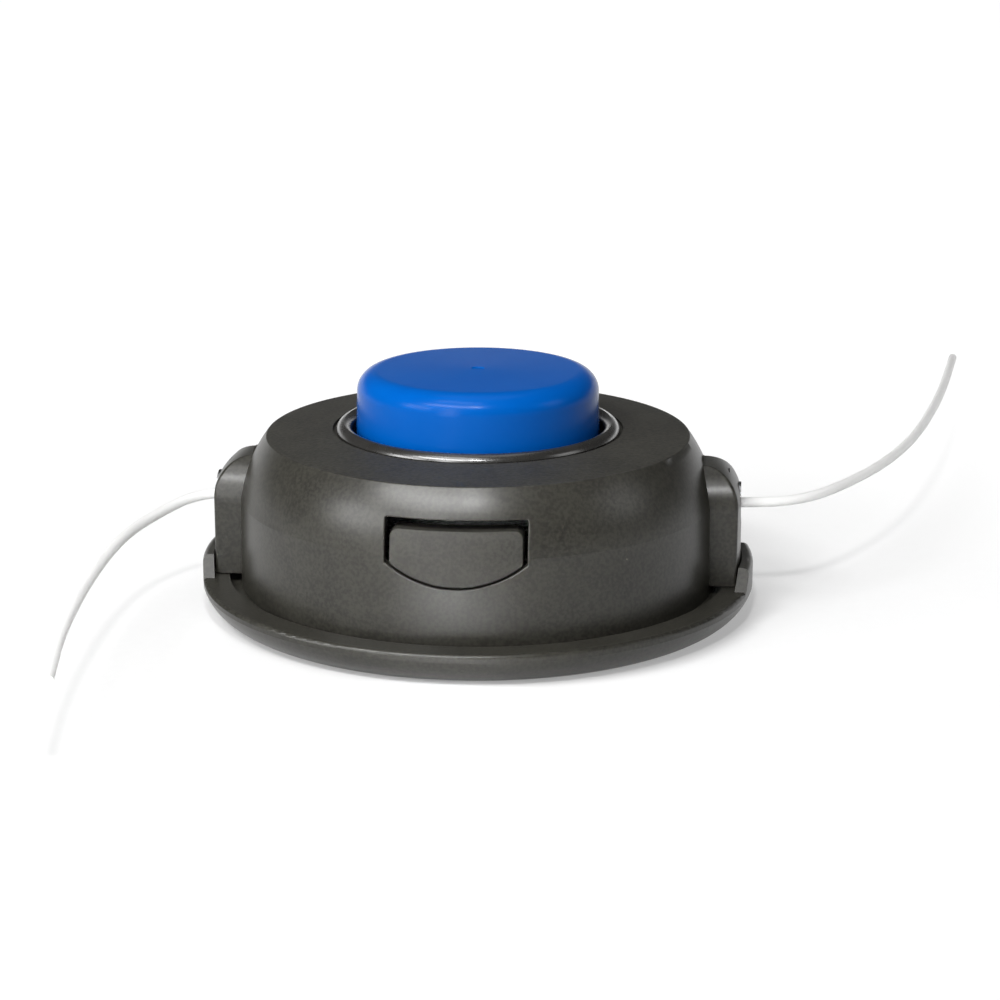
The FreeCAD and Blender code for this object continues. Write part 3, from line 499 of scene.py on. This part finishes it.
# Floor: a plain white table top under the head, with the fine mottle of painted board.
# Where the lamps leave it short of white, a glow that only the camera and reflections see makes up the rest,
# so it runs into the background and keeps the shadows of the head and the lines.

TABLE_WIDTH = 8.0
TABLE_DEEP = "#bababa"
TABLE_PALE = "#bebebe"
MOTTLE_WIDTH = 3 * MM
LAMP_POOL = (-0.15, -0.35, 0.0)
POOL_REACH = 1.0
POOL_GLOW = 0.04
FULL_GLOW = 0.97
LAMP_FRONT_FAR = -0.60
LAMP_FRONT_NEAR = -0.42

bpy.ops.object.select_all(action="DESELECT")
bpy.ops.mesh.primitive_plane_add(size=TABLE_WIDTH)
table = bpy.context.object
table.name = "table"
# Painted board: matt and nearly white.
table_white = new_finish("white_table")
place = add_node(table_white, "TexCoord", {}).outputs["Object"]
away = add_node(table_white, "VectorMath", {0: place, 1: LAMP_POOL}, operation="DISTANCE").outputs["Value"]
round_pool = add_node(table_white, "MapRange", {
    "Value": away, "From Min": 0.0, "From Max": POOL_REACH, "To Min": POOL_GLOW, "To Max": FULL_GLOW,
}, interpolation_type="SMOOTHSTEP").outputs[0]
ahead = add_node(table_white, "SeparateXYZ", {"Vector": place}).outputs["Y"]
before_lamps = add_node(table_white, "MapRange", {
    "Value": ahead, "From Min": LAMP_FRONT_FAR, "From Max": LAMP_FRONT_NEAR, "To Min": FULL_GLOW, "To Max": 0.0,
}, interpolation_type="SMOOTHSTEP").outputs[0]
glow = add_node(table_white, "Math", {0: round_pool, 1: before_lamps}, operation="MAXIMUM").outputs[0]
ray = add_node(table_white, "LightPath", {}).outputs
seen = add_node(table_white, "Math", {0: ray["Is Camera Ray"], 1: ray["Is Glossy Ray"]},
                operation="ADD", use_clamp=True).outputs[0]
seen = add_node(table_white, "Math", {0: seen, 1: ray["Is Transmission Ray"]},
                operation="ADD", use_clamp=True).outputs[0]
strength = add_node(table_white, "Math", {0: seen, 1: glow}, operation="MULTIPLY").outputs[0]
mottle = add_node(table_white, "TexNoise", {
    "Vector": place, "Scale": 1 / MOTTLE_WIDTH, "Detail": 3.0,
}).outputs["Fac"]
tone = add_node(table_white, "Mix", {
    SHARE: mottle, COLOUR_A: linear(TABLE_DEEP), COLOUR_B: linear(TABLE_PALE),
}, data_type="RGBA").outputs[COLOUR_OUT]
skin = add_node(table_white, "BsdfPrincipled", {
    "Base Color": tone, "Roughness": 0.85, "Specular IOR Level": 0.1, "Emission Color": (1, 1, 1, 1),
    "Emission Strength": strength,
})
add_node(table_white, "OutputMaterial", {"Surface": skin.outputs[0]})
table.data.materials.append(table_white)


# Light: soft boxes in front and on the left draw the pale band on the cover's shoulder, from the left box's share
# through the key box's to the small box's. The tall box stands low in front, for the wall and the flange's edge.
# The table box lights a pool on the table whose mirror image is the wall's streak, and the rest fill in softly.

HEAD = (0, 0, 0.02)
POOL_IN_FRONT = (-0.016, -0.148, 0.0)


def soft_box(name, place, aim, width, height, watts, spread=180):
    """A rectangular lamp, turned to what it lights."""
    lamp = bpy.data.lights.new(name, "AREA")
    lamp.shape = "RECTANGLE"
    lamp.size = width
    lamp.size_y = height
    lamp.energy = watts
    lamp.spread = math.radians(spread)
    box = bpy.data.objects.new(name, lamp)
    bpy.context.scene.collection.objects.link(box)
    box.location = place
    run = [to - start for start, to in zip(place, aim)]
    level = math.hypot(run[0], run[1])
    box.rotation_euler = (math.atan2(level, -run[2]), 0.0, math.atan2(-run[0], run[1]))


soft_box("key_box", (-0.24, -0.42, 0.50), HEAD, width=0.40, height=0.08, watts=3.5)
soft_box("small_box", (0.02, -0.47, 0.50), HEAD, width=0.06, height=0.05, watts=1.6)
soft_box("tall_box", (-0.28, -0.70, 0.26), (0, 0, 0.26), width=0.16, height=0.52, watts=2.4)
soft_box("left_box", (-0.64, -0.45, 0.34), HEAD, width=0.40, height=0.24, watts=2.8)
soft_box("right_box", (0.80, -0.10, 0.40), HEAD, width=0.3, height=0.3, watts=0.6)
soft_box("table_box", (-0.138, -0.479, 0.279), POOL_IN_FRONT, width=0.03, height=0.03, watts=0.6, spread=10)
soft_box("high_box", (-0.12, -0.24, 0.64), HEAD, width=0.34, height=0.16, watts=1.1)
soft_box("top_box", (0.0, 0.15, 0.90), HEAD, width=0.5, height=0.5, watts=0.7)


# Room: dim above and paler towards the horizon. Low down behind the head stands a white backdrop, which shows
# where glossy faces mirror it, and the line, which lets light through, sees white all round.

room = bpy.data.worlds.new("white_room")
bpy.context.scene.world = room
room.use_nodes = True
room.node_tree.nodes.clear()
outward = add_node(room, "TexCoord", {}).outputs["Generated"]
heading = add_node(room, "SeparateXYZ", {"Vector": outward}).outputs
wall_light = add_node(room, "MapRange", {
    "Value": heading["Z"], "From Min": 0.0, "From Max": 0.14, "To Min": 0.6, "To Max": 0.05,
}, interpolation_type="SMOOTHSTEP").outputs[0]
low = add_node(room, "MapRange", {
    "Value": heading["Z"], "From Min": 0.06, "From Max": 0.19, "To Min": 1.0, "To Max": 0.0,
}, interpolation_type="SMOOTHSTEP").outputs[0]
behind = add_node(room, "MapRange", {
    "Value": heading["Y"], "From Min": 0.5, "From Max": 0.8,
}, interpolation_type="SMOOTHSTEP").outputs[0]
backdrop = add_node(room, "Math", {0: low, 1: behind}, operation="MULTIPLY").outputs[0]
ray = add_node(room, "LightPath", {}).outputs
mirrored = add_node(room, "Math", {0: backdrop, 1: ray["Is Glossy Ray"]}, operation="MULTIPLY").outputs[0]
white = add_node(room, "Math", {0: mirrored, 1: ray["Is Transmission Ray"]}, operation="MAXIMUM").outputs[0]
brightness = add_node(room, "Math", {0: wall_light, 1: white}, operation="MAXIMUM").outputs[0]
walls = add_node(room, "Background", {"Color": (1, 1, 1, 1), "Strength": brightness})
add_node(room, "OutputWorld", {"Surface": walls.outputs[0]})


# Camera: a long lens at the photograph's angle, 15.6 degrees down and 5.2 degrees round to the right.

CAMERA_AWAY = 0.6
CAMERA_HEIGHT = 0.1923
CAMERA_TURN = math.radians(5.2)
CAMERA_TILT = math.radians(90 - 15.62)

view = bpy.data.cameras.new("photo_camera")
view.sensor_width = 36.0
view.lens = 94.96
view.shift_x = 0.022
camera = bpy.data.objects.new("photo_camera", view)
bpy.context.scene.collection.objects.link(camera)
camera.location = (CAMERA_AWAY * math.sin(CAMERA_TURN), -CAMERA_AWAY * math.cos(CAMERA_TURN), CAMERA_HEIGHT)
camera.rotation_euler = (CAMERA_TILT, 0.0, CAMERA_TURN)
bpy.context.scene.camera = camera
bpy.context.scene.view_settings.view_transform = "Standard"
